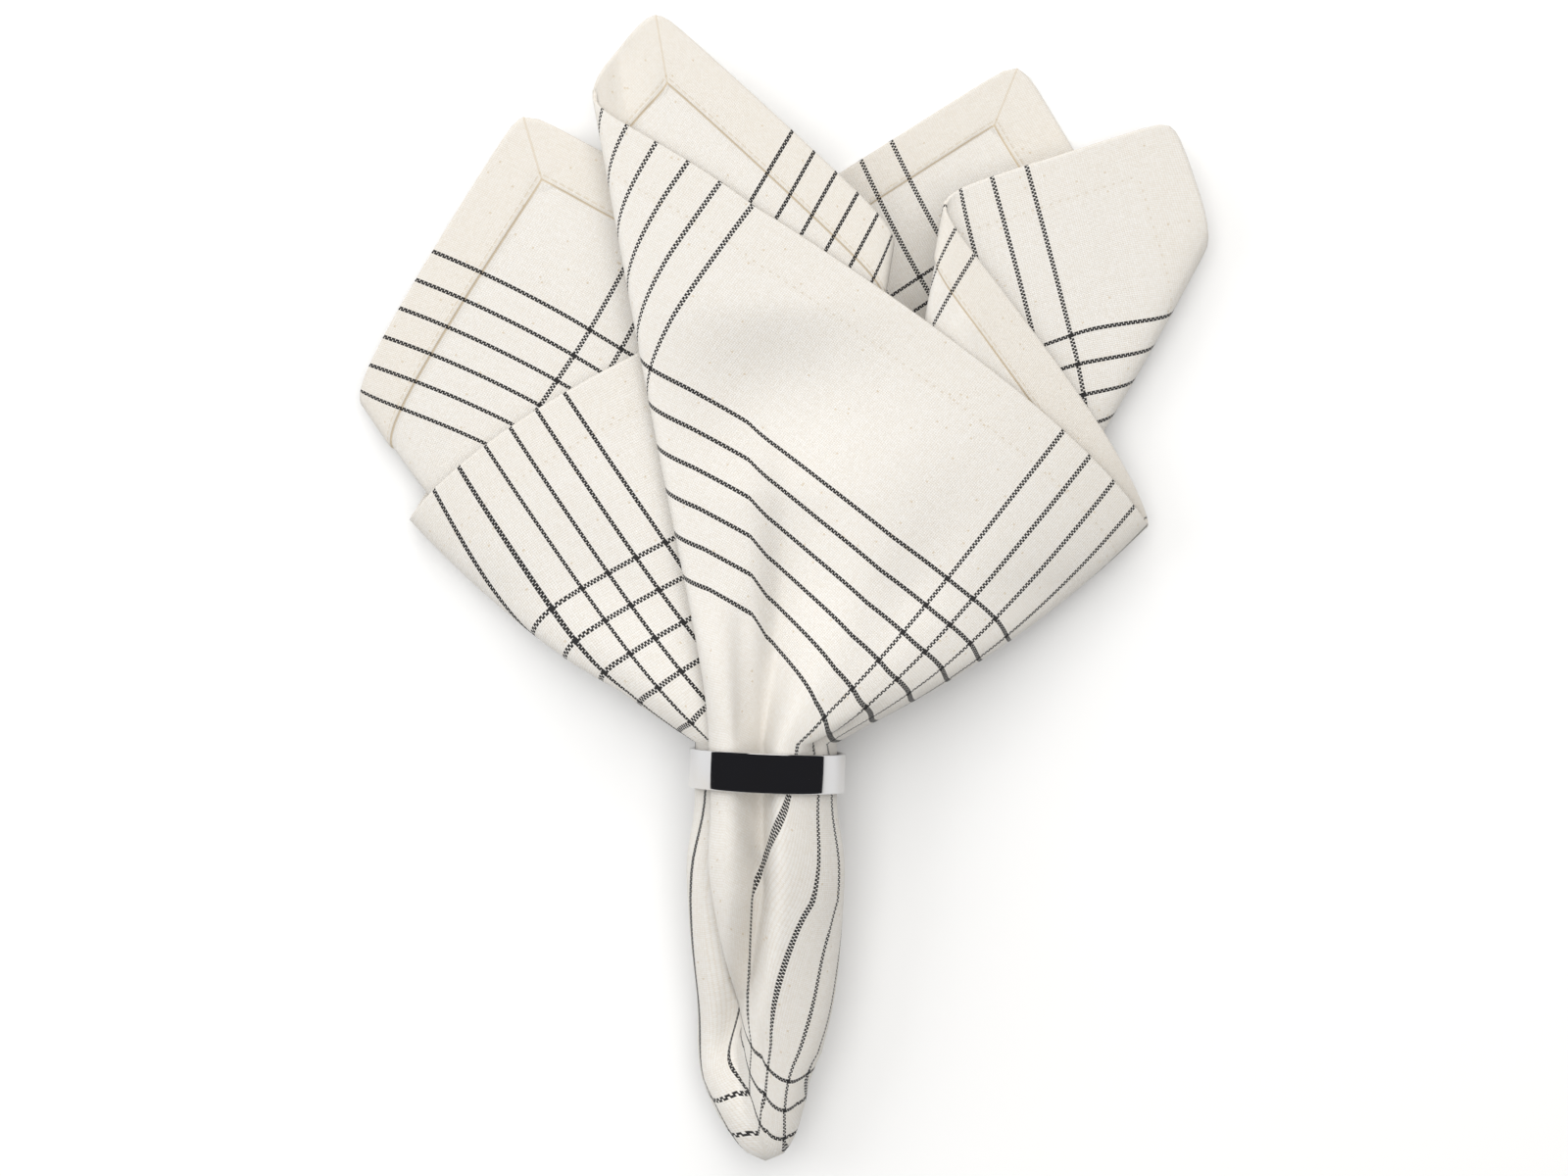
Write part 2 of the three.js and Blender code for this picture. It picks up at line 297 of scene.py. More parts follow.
@dataclass(frozen=True)
class WovenCloth:
    """Plain-woven linen and cotton with dark stripes both ways, a turned hem and its stitches.

    A crown is the rounded top of a yarn, and crown_fall how it falls across and along the yarn. A slub is a
    thick stretch, and slub_scale its noise's scale across and along the yarns. A gap is half the width over
    which a crossing yarn hides a dark one. Seeds only keep the random values apart.
    """

    side: float = CLOTH_SIDE
    warp_stripes: Stripes = Stripes(9.13, -4.0, 218)
    weft_stripes: Stripes = Stripes(10.06, 2.4, 198)
    warp_gap: float = 0.14
    weft_gap: float = 0.30
    dye: float = 0.98
    hem: float = 15.0
    hem_tint: float = 0.2
    hem_tint_wrong: float = 0.4
    # crease_shade and mitre_share weigh painted shade along the hem's inner crease and its mitres on the
    # wrong side.
    crease_half: float = 0.28
    crease_shade: float = 0.75
    mitre_half: float = 0.45
    mitre_share: float = 0.5
    stitch_length: float = 2.6
    stitch_inset: float = 1.3
    stitch_half: float = 0.35
    stitch_half_wrong: float = 0.9
    stitch_thread: float = 0.25
    # stitch_shade weighs painted shade in the sunk stitches.
    stitch_shade: float = 0.35
    stitch_sink: float = 0.0001
    crown_fall: tuple[float, float] = (3.2, 1.2)
    slub_scale: tuple[float, float] = (0.73, 0.045)
    slub_fade: tuple[float, float] = (0.62, 0.78)
    slub_growth: float = 0.5
    slub_seed: float = 7.0
    tint_seeds: tuple[float, float] = (3.0, 5.0)
    grain_seed: float = 9.0
    fleck_scale: float = 1.7
    fleck_rarity: float = 0.9975
    fleck_shade: float = 0.55
    fleck_seed: float = 2.0
    patch_scale: float = 0.02
    tint_share: float = 0.45
    slub_share: float = 0.25
    patch_share: float = 0.5
    # base_light, crown_light and grain_light set how far the colour stays from the brown shade: painted shade
    # in the gaps between yarn crowns, lighter on the crowns, and a random tone for each crossing.
    base_light: float = 0.52
    crown_light: float = 0.42
    grain_light: float = 0.18
    cream: Colour = (0.725, 0.705, 0.67)
    pale: Colour = (0.785, 0.77, 0.745)
    hem_cream: Colour = (0.735, 0.70, 0.645)
    # shade is the brown of the painted shade between yarns and in the hem's creases and stitches, and also
    # the flecks' own colour.
    shade: Colour = (0.55, 0.44, 0.29)
    charcoal: Colour = (0.015, 0.0145, 0.016)
    roughness: float = 0.88
    tint_polish: float = 0.06
    yarn_height: float = 0.00012
    slub_height: float = 0.00010
    relief: float = 0.55

    def material(self) -> bpy.types.Material:
        """Makes the cloth's material.

        Returns:
            The material, which reads the sheet's flat place and its side.
        """
        graph = Graph(bpy.data.materials.new("woven_cloth"))
        flat = graph.node("ShaderNodeUVMap", {"uv_map": Layer.FLAT.value}, {})
        wrong = graph.node("ShaderNodeAttribute", {"attribute_name": Layer.WRONG_SIDE.value}, {}, "Fac")
        across, along = (flat.part(axis) * self.side - self.side / 2 for axis in "XY")

        warp, weft = self.warp_stripes.yarn(across), self.weft_stripes.yarn(along)
        warp_part, weft_part = warp % 1.0 - 0.5, weft % 1.0 - 0.5
        over = (warp.floor() + weft.floor()) % 2.0
        under = 1.0 - over

        aside, lengthwise = self.crown_fall
        warp_crown = 1.0 - aside * warp_part * warp_part - lengthwise * weft_part * weft_part
        weft_crown = 1.0 - aside * weft_part * weft_part - lengthwise * warp_part * warp_part
        crown = (over * weft_crown + under * warp_crown).most(0.0)

        aside, lengthwise = self.slub_scale
        warp_run = graph.vector(warp.floor() * aside, along * lengthwise)
        weft_run = graph.vector(across * lengthwise, weft.floor() * aside, self.slub_seed)
        runs = (warp_run, weft_run)
        warp_slub, weft_slub = (graph.noise(run, scale=1.0, detail=1.0).fade(*self.slub_fade) for run in runs)
        slub = over * weft_slub + under * warp_slub

        warp_tint = graph.chance(graph.vector(warp.floor(), self.tint_seeds[0]))
        weft_tint = graph.chance(graph.vector(self.tint_seeds[1], weft.floor()))
        tint = over * weft_tint + under * warp_tint
        grain = graph.chance(graph.vector(warp.floor(), weft.floor(), self.grain_seed))
        speck = [(place * self.fleck_scale).floor() for place in (across, along)]
        fleck = graph.chance(graph.vector(*speck, self.fleck_seed)) > self.fleck_rarity
        patch = graph.noise(graph.vector(across, along), self.patch_scale, detail=3.0)

        edge = self.side / 2 - abs(across).most(abs(along))
        in_hem = edge < self.hem
        paleness = self.tint_share * tint + self.slub_share * slub + self.patch_share * patch
        body = graph.mix(self.cream, self.pale, paleness.least(1.0))
        turned = graph.mix(body, self.hem_cream, in_hem * (self.hem_tint + self.hem_tint_wrong * wrong))
        # Painted shade of the weave: the colour is darkened towards the brown shade in the gaps between yarn
        # crowns, with a random tone for each crossing.
        light = self.base_light + self.crown_light * crown + self.grain_light * grain
        woven = graph.mix(self.shade, turned, light.least(1.0))
        flecked = graph.mix(woven, self.shade, self.fleck_shade * fleck)

        stitches = self._stitches(across, along, edge, wrong)
        mitre = abs(abs(across) - abs(along)) < self.mitre_half
        turned_in = edge.near(self.hem, self.crease_half) + in_hem * mitre * self.mitre_share
        crease = wrong * turned_in.least(1.0)
        # Painted shade along the hem's inner crease and mitres on the wrong side, and in the sunk stitches.
        seam_shade = self.crease_shade * crease + self.stitch_shade * stitches
        seam_shaded = graph.mix(flecked, self.shade, seam_shade.least(1.0))

        warp_seen = (under + over * (abs(weft_part) > self.warp_gap)).least(1.0)
        weft_seen = (over + under * (abs(warp_part) > self.weft_gap)).least(1.0)
        dark = (self.warp_stripes.mask(warp) * warp_seen).most(self.weft_stripes.mask(weft) * weft_seen)
        dyed = graph.mix(seam_shaded, self.charcoal, self.dye * dark)

        yarns = self.yarn_height * crown * (1.0 + self.slub_growth * slub)
        height = yarns + self.slub_height * slub - self.stitch_sink * stitches
        links = {
            "Base Color": dyed,
            "Roughness": self.roughness - self.tint_polish * tint,
            "Specular IOR Level": 0.22,
            "Sheen Weight": 0.12,
            "Sheen Roughness": 0.5,
            "Normal": graph.bump(height, self.relief),
        }
        return graph.finish(links)

    def _stitches(self, across: Socket, along: Socket, edge: Socket, wrong: Socket) -> Socket:
        """1 on the stitches that hold the hem.

        Args:
            across: distance from the middle along the weft.
            along: distance from the middle along the warp.
            edge: distance from the hem's outer edge.
            wrong: 1 on the wrong side.

        Returns:
            The mask of the stitches, longer on the wrong side.
        """
        run = abs(across).least(abs(along)) % self.stitch_length
        middle = self.stitch_length / 2
        seen = run.near(middle, self.stitch_half) + wrong * run.near(middle, self.stitch_half_wrong)
        return seen.least(1.0) * edge.near(self.hem - self.stitch_inset, self.stitch_thread)


@dataclass(frozen=True)
class PolishedSteel:
    """Mirror-polished band with fine turning marks and a little haze."""

    colour: Colour = (0.67, 0.67, 0.68)
    warm: Colour = (0.67, 0.65, 0.62)
    roughness: float = 0.045
    haze: float = 0.05
    smear_scale: float = 90.0
    warm_fade: tuple[float, float] = (0.35, 0.8)
    haze_fade: tuple[float, float] = (0.5, 0.9)
    mark_scale: float = 9000.0
    mark_drift: float = 0.6
    mark_haze: float = 0.02
    mark_height: float = 0.0000012
    relief: float = 0.4

    def material(self) -> bpy.types.Material:
        """Makes the ring's material.

        Returns:
            The material.
        """
        graph = Graph(bpy.data.materials.new("polished_steel"))
        place = graph.place()
        smear = graph.noise(place, self.smear_scale, detail=3.0)
        turning = graph.vector(place.part("Y") * self.mark_scale, smear * self.mark_drift)
        marks = graph.noise(turning, scale=1.0, detail=2.0)
        haze = self.haze * smear.fade(*self.haze_fade)
        links = {
            "Base Color": graph.mix(self.colour, self.warm, smear.fade(*self.warm_fade)),
            "Metallic": 1.0,
            "Roughness": self.roughness + haze + self.mark_haze * marks,
            "Normal": graph.bump(marks * self.mark_height, self.relief),
        }
        return graph.finish(links)


@dataclass(frozen=True)
class PaleFloor:
    """Matt white paper."""

    white: Colour = (0.90, 0.90, 0.90)
    shade: Colour = (0.87, 0.87, 0.87)
    cloud_scale: float = 2.0
    cloud_fade: tuple[float, float] = (0.4, 0.9)
    grain_scale: float = 900.0
    grain_haze: float = 0.1
    roughness: float = 0.85

    def material(self) -> bpy.types.Material:
        """Makes the floor's material.

        Returns:
            The material.
        """
        graph = Graph(bpy.data.materials.new("pale_floor"))
        place = graph.place()
        cloud = graph.noise(place, self.cloud_scale, detail=3.0)
        grain = graph.noise(place, self.grain_scale, detail=2.0)
        links = {
            "Base Color": graph.mix(self.white, self.shade, cloud.fade(*self.cloud_fade)),
            "Roughness": self.roughness + self.grain_haze * grain,
            "Specular IOR Level": 0.2,
        }
        return graph.finish(links)


@dataclass(frozen=True)
class Fold:
    """One fold of the cloth with the panel that follows it, in order round the cloth's centre.

    turn is its direction on the flat cloth in degrees about the centre, and fan its direction in the fan,
    in degrees to the right of Y from the tail's tip. reach is its length in the fan as a share of its length
    on the flat cloth, and bow the panel's extra reach halfway across. neck is its place across the bundle in
    the ring, from -1 on the left to 1 on the right. start and end are the panel's level in the stack at its
    two folds, from -1 on the table to 1 on top.
    """

    turn: float
    fan: float
    neck: float
    reach: float
    bow: float
    start: float
    end: float


@dataclass(frozen=True)
class Trough:
    """A hollow pressed into the upper layers.

    fan is its direction, and left and right the widths of its two sides, in degrees. start and end are the
    stations that it runs between.
    """

    fan: float
    left: float
    right: float
    start: float
    end: float
    depth: float


@dataclass(frozen=True)
class Crease:
    """A soft ridge on the right side, or a trough where its height is negative, between two flat places.

    x and y are millimetres from the cloth's middle, and width is to where it has faded.
    """

    x_start: float
    y_start: float
    x_end: float
    y_end: float
    width: float
    height: float


FOLDS = (
    Fold(204.4, 9.5, 0.30, 0.975, 0, 0.1, -0.1),
    Fold(240.5, -30, -0.88, 0.945, 0, -0.33, -0.33),
    Fold(251, -19, -0.45, 0.955, 0, -0.56, -0.56),
    Fold(260.5, -33, -1, 0.925, 0.03, 0.42, 0.42),
    Fold(300.4, 9.2, 0.35, 1, 0.003, 0.69, 0.69),
    Fold(319.8, -10.2, -1, 1.03, 0.006, 1, 1),
    Fold(329.6, -0.5, -0.06, 1.028, 0.01, 1, 1),
    Fold(365.5, 35, 1, 0.95, 0, 0.55, 0.72),
    Fold(393.6, 9.6, 0.20, 1.02, 0, 0.45, 0.3),
    Fold(410.5, 27.2, 0.75, 0.98, 0, -0.45, -0.63),
    Fold(447.9, -12, -0.35, 0.95, 0, -0.86, -0.7),
    Fold(484, 24, 0.62, 1.005, 0.012, -1, -1),
    Fold(532.1, -23.5, -0.70, 0.985, 0, -0.74, -0.15),
)

TROUGHS = (
    Trough(2.2, 2.3, 5.5, 70, 216, 8),
    Trough(0.5, 6, 8, 186, 241, 7.5),
    Trough(-17, 3.5, 3.5, 116, 190, 2.5),
    Trough(17, 4, 4, 116, 200, 2),
)

CREASES = (
    Crease(224, -206, 211, -191, 8, 1.8),
    Crease(119, -23, 130, -13, 5, 1.5),
    Crease(113, -19, 124, -8, 5, -1.8),
    Crease(97, -50, 122, -66, 7, -1.2),
    Crease(-20, -150, -60, -190, 12, -1.2),
    Crease(150, 60, 205, 120, 14, -1.2),
)


@dataclass(frozen=True)
class Draw:
    """How the gathers draw a thread line askew.

    turn is the line's place in the table of folds. hem, neck and tip are its directions on the flat cloth at
    the hem, in the ring and near the tail's tip. bow is how far it swings aside between the ring and the hem,
    and pulled its distance from the cloth's centre in the ring.
    """

    turn: float
    hem: float
    neck: float
    tip: float
    bow: float = 0.0
    pulled: float = RING_STATION


DRAWS = (
    Draw(204.4, 204.4, 209, 206),
    Draw(222, 222, 226.5, 222, 0, 125),
    Draw(240.5, 240.5, 245.5, 238, 0.5, 114),
    Draw(251, 250.2, 254, 249, 2, 115),
    Draw(260.5, 259, 261.4, 262, 4, 122),
    Draw(270, 267, 267.5, 267.5, -5, 122),
    Draw(283, 280.3, 269.5, 273, -1.3, 117),
    Draw(300.4, 298.2, 305, 278),
    Draw(308.3, 307.5, 315.2, 281),
    Draw(315, 315, 324, 286),
    Draw(319.8, 320.5, 325.5, 308, 1, 101.5),
    Draw(324, 325, 330, 322, 1, 97),
    Draw(328.8, 329.9, 336.5, 328, -1, 96),
    Draw(330.4, 331.5, 341.2, 332, -2.5, 99.5),
    Draw(336, 337.2, 344.8, 345, 0, 103),
    Draw(343, 344.3, 347, 355, 2.8, 108),
    Draw(353, 354, 350.5, 368, 4.5, 112),
    Draw(360, 360.2, 354, 379, 4, 111.5),
    Draw(365.5, 365, 360, 387, 3, 111),
    Draw(393.6, 394.4, 410, 400),
    Draw(405, 405, 421, 413, 0.8, 122),
    Draw(410.5, 410.3, 427, 419, 3, 130),
    Draw(447.9, 447.4, 444.5, 450),
    Draw(484, 483.7, 480, 485),
    Draw(495, 495, 482, 495, -4, 95),
    Draw(532.1, 531.5, 517, 530),
)


def panels() -> Iterator[tuple[Fold, Fold, float]]:
    """Each fold, the next one round the cloth and the turn at which the panel between them ends."""
    for fold, after in zip(FOLDS, (*FOLDS[1:], FOLDS[0])):
        yield fold, after, after.turn if after.turn > fold.turn else after.turn + FULL_TURN


def soft_step(distance: Array) -> Array:
    """A step from 0 to 1 at zero, rounded over a distance of about one."""
    return 0.5 + 0.5 * np.tanh(FOLD_SHARPNESS / 2 * distance)


def soft_ramp(distance: Array) -> Array:
    """A ramp that starts at zero, with the soft step as its slope."""
    return np.logaddexp(0.0, FOLD_SHARPNESS * distance) / FOLD_SHARPNESS


def ramp(value: Array, start: Array | float, end: Array | float) -> Array:
    """A straight ramp from 0 at start to 1 at end."""
    return np.clip((value - start) / (end - start), 0.0, 1.0)


def smooth(value: Array, start: float, end: float) -> Array:
    """A smooth step from 0 at start to 1 at end."""
    share = ramp(value, start, end)
    return share * share * (3.0 - 2.0 * share)


def blend(first: Array | float, second: Array | float, share: Array) -> Array:
    """Straight blend of two values."""
    return first + (second - first) * share


def heading(turn: Array) -> Array:
    """Unit vectors on the flat cloth in directions given in degrees."""
    angle = np.radians(turn)
    return np.stack([np.cos(angle), np.sin(angle)], axis=-1)


@dataclass(frozen=True)
class FoldedCloth:
    """Shape of the folded napkin: where a place on the flat cloth lies.

    Sections are measured by their station, the distance from the tail's tip along Y. tip_place is the place
    on the flat cloth that lies at the tip.
    """

    side: float = CLOTH_SIDE
    corner_power: float = 90.0
    base: float = 0.9
    fold_length: float = 7.0
    tip_growth: float = 4.0
    tip_fade: float = 25.0
    widest_fold: float = 75.0
    climb_share: float = 0.65
    ring_station: float = RING_STATION
    ring_height: float = RING_HEIGHT
    neck_radius: float = 19.8
    neck_half_length: float = 8.0
    tail_length: float = 92.0
    tail_half_width: float = 22.3
    tail_half_height: float = 16.0
    tail_middle: float = 14.5
    tail_clearance: float = 1.2
    tail_shoulder: float = 10.0
    tail_lean: float = -3.0
    lean_station: float = 22.0
    lean_span: float = 16.0
    fan_drop: float = 0.45
    ceiling_start: float = 0.1
    flatness: float = 0.7
    rounding: tuple[float, float] = (12.0, 70.0)
    pleat_depth: float = 13.0
    pleat_path: tuple[tuple[float, ...], tuple[float, ...]] = (
        (0.0, 15.0, 33.0, 52.0, 75.0, 120.0),
        (-5.0, -7.0, -9.5, -4.5, -1.2, -1.0),
    )
    pleat_widths: tuple[float, float] = (6.0, 2.6)
    pleat_fade: tuple[float, float] = (2.0, 45.0)
    left_ground: tuple[float, float] = (0.3, 0.72)
    right_ground: tuple[float, float] = (0.9, 0.66)
    filling: tuple[float, float] = (5.0, 40.0)
    twist_start: float = 20.0
    twist_end: float = 75.0
    tip_place: tuple[float, float] = (-7.0, -5.0)
    fan_station: float = 119.0
    fan_spread: float = 27.0
    fan_settle: float = 45.0
    fan_shift: float = -0.8
    hem_crest: float = 23.0
    neck_crest: float = 18.0
    crest_fade: float = 70.0
    side_drop: float = 0.58
    side_drop_power: float = 2.2
    left_turns: tuple[float, ...] = (240.5, 260.5, 319.8)
    right_turns: tuple[float, ...] = (365.5, 385.0, 410.5)
    top_turn: float = 343.0
    bottom_turn: float = 508.0
    windings: tuple[int, ...] = (-2, -1, 0, 1, 2)
    trough_power: float = 1.5
    limit_step: float = 0.5
    rounds: int = 6

    def hem_radius(self, turn: Array) -> Array:
        """Distances from the cloth's centre to its hem, with slightly blunt corners.

        Args:
            turn: directions on the flat cloth, in degrees.

        Returns:
            One distance for each direction.
        """
        angle = np.radians(turn)
        power = self.corner_power
        size = np.abs(np.cos(angle)) ** power + np.abs(np.sin(angle)) ** power
        return self.side / 2 / size ** (1.0 / power)

    def folded(self, turn: Array, radius: Array) -> tuple[Array, Array, Array, Array]:
        """Softens the table of folds.

        Args:
            turn: directions on the flat cloth, in degrees.
            radius: distances from its centre.

        Returns:
            Fan direction, level, reach and place in the neck at each place.
        """
        turn, radius = np.broadcast_arrays(turn, radius)
        first_turn = FOLDS[0].turn
        turn = first_turn + (turn - first_turn) % FULL_TURN
        length = self.fold_length * (1.0 + self.tip_growth * np.exp(-radius / self.tip_fade))
        spread = np.minimum(np.degrees(length / np.maximum(radius, 1.0)), self.widest_fold)
        climb = spread * self.climb_share
        fan, level, reach, neck = np.zeros((4, *spread.shape))
        for fold, after, end in panels():
            inside, run = self._panel(turn, fold.turn, end, spread)
            fan += fold.fan * inside + (after.fan - fold.fan) * run
            reach += fold.reach * inside + (after.reach - fold.reach) * run
            neck += fold.neck * inside + (after.neck - fold.neck) * run
            inside, run = self._panel(turn, fold.turn, end, climb)
            level += fold.start * inside + (fold.end - fold.start) * run
            share = ramp(turn, fold.turn, end)
            reach += 4.0 * fold.bow * share * (1.0 - share) * np.minimum(2.0 * radius / self.side, 1.0)
        return fan, level, reach, neck

    def _panel(self, turn: Array, start: float, end: float, spread: Array) -> tuple[Array, Array]:
        """Weighs one panel.

        Args:
            turn: directions on the flat cloth.
            start: the panel's first fold.
            end: its second fold.
            spread: the turn over which a fold is rounded.

        Returns:
            How far each place is inside the panel, and how far along it.
        """
        inside, run = np.zeros((2, *spread.shape))
        for winding in self.windings:
            entered = (turn - start - winding * FULL_TURN) / spread
            passed = (turn - end - winding * FULL_TURN) / spread
            stepped = soft_step(passed)
            inside += soft_step(entered) - stepped
            run += (soft_ramp(entered) - soft_ramp(passed)) * spread / (end - start) - stepped
        return inside, run

    def bounds(self, radius: Array) -> list[Array]:
        """Limits of the stack at each distance from the cloth's centre.

        Args:
            radius: distances from the centre.

        Returns:
            Left and right fan slope, left and right place in the neck, and top and bottom level.
        """
        steps = np.arange(0.0, self.side, self.limit_step)
        left, right = (
            [self.folded(np.float64(turn), steps) for turn in turns]
            for turns in (self.left_turns, self.right_turns)
        )
        limits = (
            np.min([np.tan(np.radians(values[0])) for values in left], axis=0),
            np.max([np.tan(np.radians(values[0])) for values in right], axis=0),
            np.min([values[3] for values in left], axis=0),
            np.max([values[3] for values in right], axis=0),
            self.folded(np.float64(self.top_turn), steps)[1],
            self.folded(np.float64(self.bottom_turn), steps)[1],
        )
        return [np.interp(radius, steps, limit) for limit in limits]

    def filled(self, above: Array, across: Array, drop: float, share: Array) -> Array:
        """Level within the layers that lie at each part of the width.

        Args:
            above: level in the whole stack, from -1 to 1.
            across: place in the width, from -1 to 1.
            drop: how far the highest layer of the left side lies below the top.
            share: how much of the filling is done.

        Returns:
            -1 for the lowest layer there, 1 for the highest.
        """
        rise, rise_start = self.left_ground
        lift, lift_start = self.right_ground
        ceiling = 1.0 - share * drop * smooth(-across, self.ceiling_start, 1.0)
        ground = rise * smooth(-across, rise_start, 1.0) + lift * smooth(across, lift_start, 1.0)
        ground = share * ground - 1.0
        return np.maximum((2.0 * above - ceiling - ground) / (ceiling - ground), -1.0)

    def trough_depth(self, fan: Array, station: Array) -> Array:
        """How far the troughs press the stack's top down.

        Args:
            fan: directions in the fan, in degrees.
            station: distances from the tail's tip.

        Returns:
            Depth at each place.
        """
        depth = np.zeros_like(fan)
        for trough in TROUGHS:
            aside = fan - trough.fan
            aside = aside / np.where(aside < 0.0, trough.left, trough.right)
            along = np.sin(np.pi * ramp(station, trough.start, trough.end))
            depth += trough.depth * np.exp(-aside * aside) * along**self.trough_power
        return depth

    def pleat(self, x: Array, station: Array, level: Array) -> Array:
        """How far the bundle's front is pressed in along its pleat.

        Args:
            x: places across the bundle.
            station: distances from the tail's tip.
            level: levels in the stack, from -1 to 1.

        Returns:
            Depth at each place, which fades towards the bottom of the stack and the tail's tip.
        """
        aside = x - np.interp(station, *self.pleat_path)
        width = np.where(aside < 0.0, *self.pleat_widths)
        share = np.clip((level + 1.0) / 2.0, 0.0, 1.0)
        fade = smooth(station, *self.pleat_fade)
        return self.pleat_depth * fade * share**2 * np.exp(-((aside / width) ** 2))

    def points(self, turn: Array, radius: Array) -> Array:
        """Places on the middle of the sheet's thickness.

        Args:
            turn: directions on the flat cloth, in degrees.
            radius: distances from its centre.

        Returns:
            Their places, with X, Y and Z last.
        """
        fan, level, reach, neck = self.folded(turn, radius)
        left, right, neck_left, neck_right, top, bottom = self.bounds(radius)
        slope = np.tan(np.radians(fan))
        station = reach * radius * np.cos(np.radians(fan))
        height = (2.0 * level - top - bottom) / (top - bottom)
        fill = smooth(station, *self.filling)
        inside = (2.0 * neck - neck_left - neck_right) / (neck_right - neck_left)
        stacked = self.filled(height, inside, 0.0, fill)
        across = (2.0 * slope - left - right) / (right - left)
        above = self.filled(height, across, self.fan_drop, fill)

        to_tip = np.clip(1.0 - station / self.tail_length, 0.0, 1.0)
        dome = np.sqrt(1.0 - to_tip * to_tip)
        neck_start = self.ring_station - self.neck_half_length
        narrowing = smooth(station, self.tail_length - self.tail_shoulder, neck_start)
        half_width = dome * blend(self.tail_half_width, self.neck_radius, narrowing)
        rise = smooth(station, self.lean_station, neck_start)
        half_height = dome * blend(self.tail_half_height, self.neck_radius, rise)
        middle = np.maximum(
            blend(self.tail_middle, self.ring_height, rise), half_height + self.tail_clearance
        )
        lean = self.tail_lean * np.exp(-(((station - self.lean_station) / self.lean_span) ** 2))
        rounding = smooth(station, *self.rounding)
        narrow = np.sqrt(np.maximum(1.0 - rounding * (1.0 - self.flatness) * stacked**2, 0.0))
        low = np.sqrt(np.maximum(1.0 - rounding * self.flatness * inside**2, 0.0))
        round_x = lean + half_width * inside * narrow
        round_z = middle + half_height * stacked * low - self.pleat(round_x, station, stacked)

        past = np.maximum(station - self.ring_station, 0.0)
        crest = self.hem_crest + self.neck_crest * np.exp(-past / self.crest_fade)
        arch = 1.0 - self.side_drop * np.abs(across) ** self.side_drop_power
        open_x = station * slope + self.fan_shift
        open_z = self.base + (above + 1.0) / 2.0 * (crest * arch - self.trough_depth(fan, station))

        opened = 1.0 - np.exp(-np.maximum(station - self.fan_station, 0.0) / self.fan_spread)
        settled = smooth(station, self.fan_station, self.fan_station + self.fan_settle)
        return np.stack(
            [
                blend(round_x, open_x, opened),
                station - self.ring_station,
                blend(round_z, open_z, settled),
            ],
            axis=-1,
        )

    @staticmethod
    def drawn(turn: Array, column: str, winding: float = FULL_TURN) -> Array:
        """Looks a column of the table of threads up.

        Args:
            turn: places in the table of folds, in degrees.
            column: the column's name.
            winding: how much the column grows in a full turn.

        Returns:
            The column's value at each place.
        """
        turns = [draw.turn for draw in DRAWS]
        values = [getattr(draw, column) for draw in DRAWS]
        return np.interp(turn, [*turns, turns[0] + FULL_TURN], [*values, values[0] + winding])

    def thread(self, turn: Array) -> tuple[Array, Array]:
        """Ends of the threads that run from the ring to the hem.

        Args:
            turn: their places in the table of folds, in degrees.

        Returns:
            Places on the flat cloth, from its middle, in the ring and at the hem.
        """
        hem = self.drawn(turn, "hem")
        in_ring = self.drawn(turn, "pulled", 0.0)[..., None] * heading(self.drawn(turn, "neck"))
        return in_ring, self.hem_radius(hem)[..., None] * heading(hem)

    def flat(self, turn: Array, station: Array) -> Array:
        """Places on the flat cloth: round the tip's place in the tail, then from the ring to the hem.

        Args:
            turn: places in the table of folds, in degrees.
            station: distances from the tail's tip.

        Returns:
            X and Y from the cloth's middle.
        """
        in_ring, at_hem = self.thread(turn)
        share = ramp(station, self.ring_station, self.hem_station(turn))
        untwisted = ramp(station, self.twist_start, self.twist_end)
        around = blend(self.drawn(turn, "tip"), self.drawn(turn, "neck"), untwisted)
        from_tip = self.drawn(turn, "pulled", 0.0) * np.minimum(station / self.ring_station, 1.0)
        to_tip = np.clip(1.0 - station / self.twist_end, 0.0, 1.0)
        in_tail = from_tip[..., None] * heading(around) + to_tip[..., None] * np.array(self.tip_place)
        run = at_hem - in_ring
        aside = np.stack([-run[..., 1], run[..., 0]], axis=-1)
        aside = aside / np.linalg.norm(run, axis=-1, keepdims=True)
        swing = self.drawn(turn, "bow", 0.0) * np.sin(np.pi * share)
        return in_tail + run * share[..., None] + aside * swing[..., None]

    def edge_station(self, turn: Array, edge: float) -> Array:
        """Stations at a distance inside the hem.

        Args:
            turn: directions at the hem, in degrees.
            edge: distance on the flat cloth from the hem's outer edge.

        Returns:
            One station for each direction.
        """
        in_ring, at_hem = self.thread(turn)
        side = np.sign(at_hem)
        run = side * (at_hem - in_ring)
        outermost = np.abs(at_hem).max(axis=-1, keepdims=True)
        share = (outermost - edge - side * in_ring) / np.maximum(run, TINY)
        share = np.where(run > 0.0, share, 1.0).min(axis=-1)
        return blend(self.ring_station, self.hem_station(turn), share)

    def hem_station(self, turn: Array) -> Array:
        """Stations of the hem.

        Args:
            turn: directions at the hem, in degrees.

        Returns:
            One station for each direction.
        """
        radius = self.hem_radius(turn)
        fan, _level, reach, _neck = self.folded(turn, radius)
        return reach * radius * np.cos(np.radians(fan))

